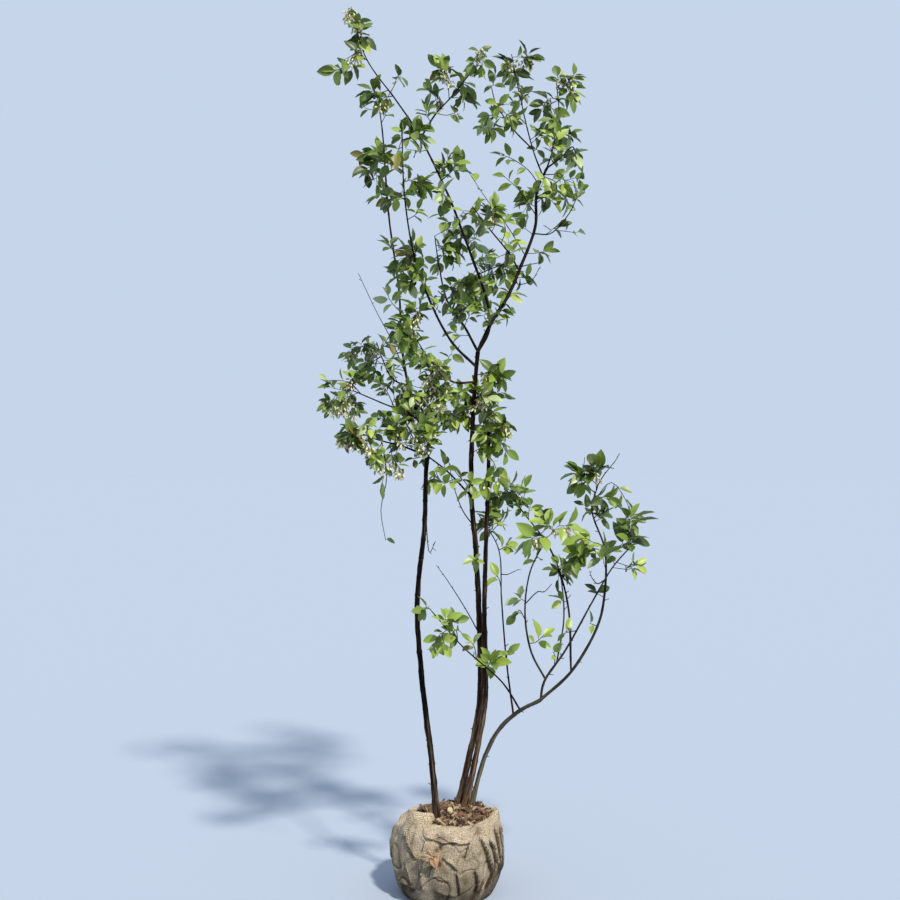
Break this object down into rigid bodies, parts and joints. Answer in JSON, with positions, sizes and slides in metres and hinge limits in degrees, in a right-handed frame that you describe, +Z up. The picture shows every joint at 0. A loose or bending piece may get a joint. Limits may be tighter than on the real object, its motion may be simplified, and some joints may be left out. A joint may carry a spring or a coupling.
{
  "type": "sapling with root ball",
  "caption": "Young multi-stemmed fruiting shrub in spring leaf and blossom, standing on its burlap-wrapped root ball.",
  "frame": {"origin": "Middle of the root ball's flat underside, on the surface it stands on.", "axes": "+Z is up along the stems; -Y is the front, from which the low limb reaches to the right, +X."},
  "size_m": [0.7564, 0.4876, 1.9782],
  "materials": {
    "stem_bark": "reddish-brown bark, peeling to pale tan strips",
    "grey_bark": "smooth grey-olive bark",
    "young_bark": "young brown-olive bark",
    "leaves": "fresh green spring leaves with cream blossom",
    "burlap": "coarse tan woven burlap over packed soil",
    "soil": "bark mulch over dark soil"
  },
  "bodies": {
    "root": {"root_ball": "burlap", "soil_cap": "soil", "stem_left": "stem_bark", "stem_middle": "stem_bark", "stem_right": "stem_bark", "low_limb": "grey_bark", "low_bough_outer": "grey_bark", "low_bough_inner": "grey_bark", "low_bough_left": "grey_bark", "low_bough_back": "grey_bark", "long_shoot": "young_bark", "crossing_shoot": "young_bark", "upright_shoot": "young_bark", "left_bough_front": "young_bark", "left_bough_back": "young_bark", "tall_bough_left": "young_bark", "far_left_bough": "young_bark", "centre_bough": "young_bark", "centre_top_bough": "young_bark", "right_bough": "young_bark", "right_bough_tip": "young_bark", "right_bough_outer": "young_bark", "right_bough_upper": "young_bark", "right_bough_fan": "young_bark", "inner_right_bough": "young_bark", "front_left_bough": "young_bark", "front_bough": "young_bark", "back_bough": "young_bark", "back_right_bough": "young_bark", "leaves_very_top": "leaves", "leaves_top_left": "leaves", "leaves_top_centre": "leaves", "leaves_top_middle": "leaves", "leaves_top_back": "leaves", "leaves_fan": "leaves", "leaves_right_tip": "leaves", "leaves_right_outer": "leaves", "leaves_right_upper": "leaves", "leaves_left_high": "leaves", "leaves_front_high": "leaves", "leaves_front_upper": "leaves", "leaves_front_middle": "leaves", "leaves_front": "leaves", "leaves_centre_upper": "leaves", "leaves_centre": "leaves", "leaves_inner_right": "leaves", "leaves_back_upper": "leaves", "leaves_back_middle": "leaves", "leaves_far_left": "leaves", "leaves_left_back": "leaves", "leaves_left_front": "leaves", "leaves_heart_left": "leaves", "leaves_heart_right": "leaves", "leaves_low_front": "leaves", "leaves_low_middle": "leaves", "leaves_low_right": "leaves", "leaves_low_outer": "leaves", "leaves_low_inner": "leaves", "leaves_low_back": "leaves", "leaves_low_rear": "leaves"}
  },
  "joints": []
}
